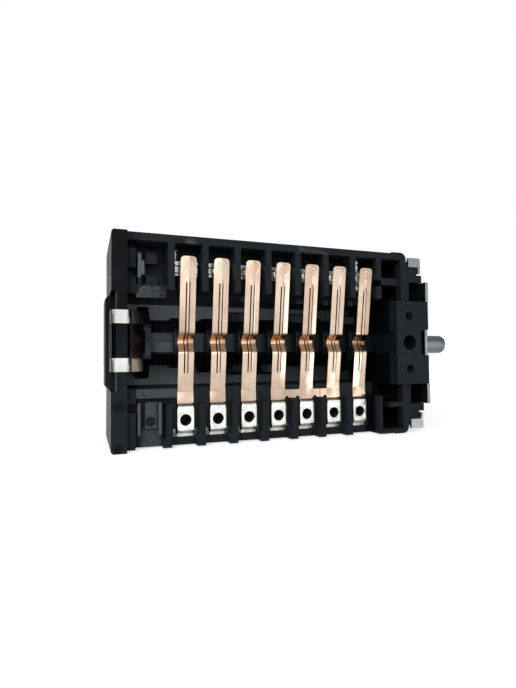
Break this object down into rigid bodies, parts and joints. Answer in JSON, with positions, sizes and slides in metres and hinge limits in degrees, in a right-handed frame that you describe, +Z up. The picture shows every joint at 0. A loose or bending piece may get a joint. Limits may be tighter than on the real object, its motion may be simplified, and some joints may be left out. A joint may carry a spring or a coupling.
{
  "type": "rotary selector switch",
  "caption": "Oven selector switch: black housing open at the front, cam drum, copper contact leaves, tab terminals, detent spring, steel bracket and round shaft.",
  "frame": {"origin": "on the shaft axis, in the outer face of the mounting bracket, midway between its two tapped holes", "axes": "+X out along the shaft, -Y towards the open contact side, +Z up"},
  "size_m": [0.1122, 0.0302, 0.0546],
  "materials": {
    "black_moulding": "black glass filled nylon, satin",
    "cap_moulding": "black glass filled nylon, fine grain",
    "drum_moulding": "black acetal, satin",
    "zinc_sheet": "zinc plated steel sheet",
    "zinc_shaft": "zinc plated steel bar, turned",
    "spring_steel": "bright rolled spring steel",
    "copper_strip": "bright rolled copper alloy",
    "tinned_strip": "tin plated brass, satin",
    "silvered_strip": "silver plated brass",
    "silver_contact": "silver alloy rivet head"
  },
  "bodies": {
    "switch_body": {"housing": "black_moulding", "bearing_cap": "cap_moulding", "mounting_bracket": "zinc_sheet", "detent_spring": "spring_steel", "leaf_spring_1": "copper_strip", "leaf_spring_2": "copper_strip", "leaf_spring_3": "copper_strip", "leaf_spring_4_5": "copper_strip", "leaf_spring_6": "copper_strip", "leaf_spring_7": "copper_strip", "terminal_1": "tinned_strip", "terminal_2": "tinned_strip", "terminal_3": "tinned_strip", "terminal_4": "tinned_strip", "terminal_5": "tinned_strip", "terminal_6": "tinned_strip", "terminal_7": "tinned_strip", "fixed_contact_1": "silvered_strip", "fixed_contact_2": "silvered_strip", "fixed_contact_3": "silvered_strip", "fixed_contact_4": "silvered_strip", "fixed_contact_5": "silvered_strip", "fixed_contact_6": "silvered_strip", "fixed_contact_7": "silvered_strip", "fixed_pad_1": "silver_contact", "fixed_pad_2": "silver_contact", "fixed_pad_3": "silver_contact", "fixed_pad_4": "silver_contact", "fixed_pad_5": "silver_contact", "fixed_pad_6": "silver_contact", "fixed_pad_7": "silver_contact", "moving_button_1": "silver_contact", "moving_button_2": "silver_contact", "moving_button_3": "silver_contact", "moving_button_4": "silver_contact", "moving_button_5": "silver_contact", "moving_button_6": "silver_contact", "moving_button_7": "silver_contact"},
    "rotor": {"cam_drum": "drum_moulding", "detent_star": "drum_moulding", "drive_shaft": "zinc_shaft"}
  },
  "joints": [
    {"name": "shaft_turn", "type": "hinge", "parent": "switch_body", "child": "rotor", "pos_m": [0, 0, 0], "axis": [1, 0, 0], "continuous": true, "deforming": ["leaf_spring_1", "leaf_spring_2", "leaf_spring_3", "leaf_spring_4_5", "leaf_spring_6", "leaf_spring_7", "moving_button_1", "moving_button_2", "moving_button_3", "moving_button_4", "moving_button_5", "moving_button_6", "moving_button_7", "detent_spring"]}
  ]
}
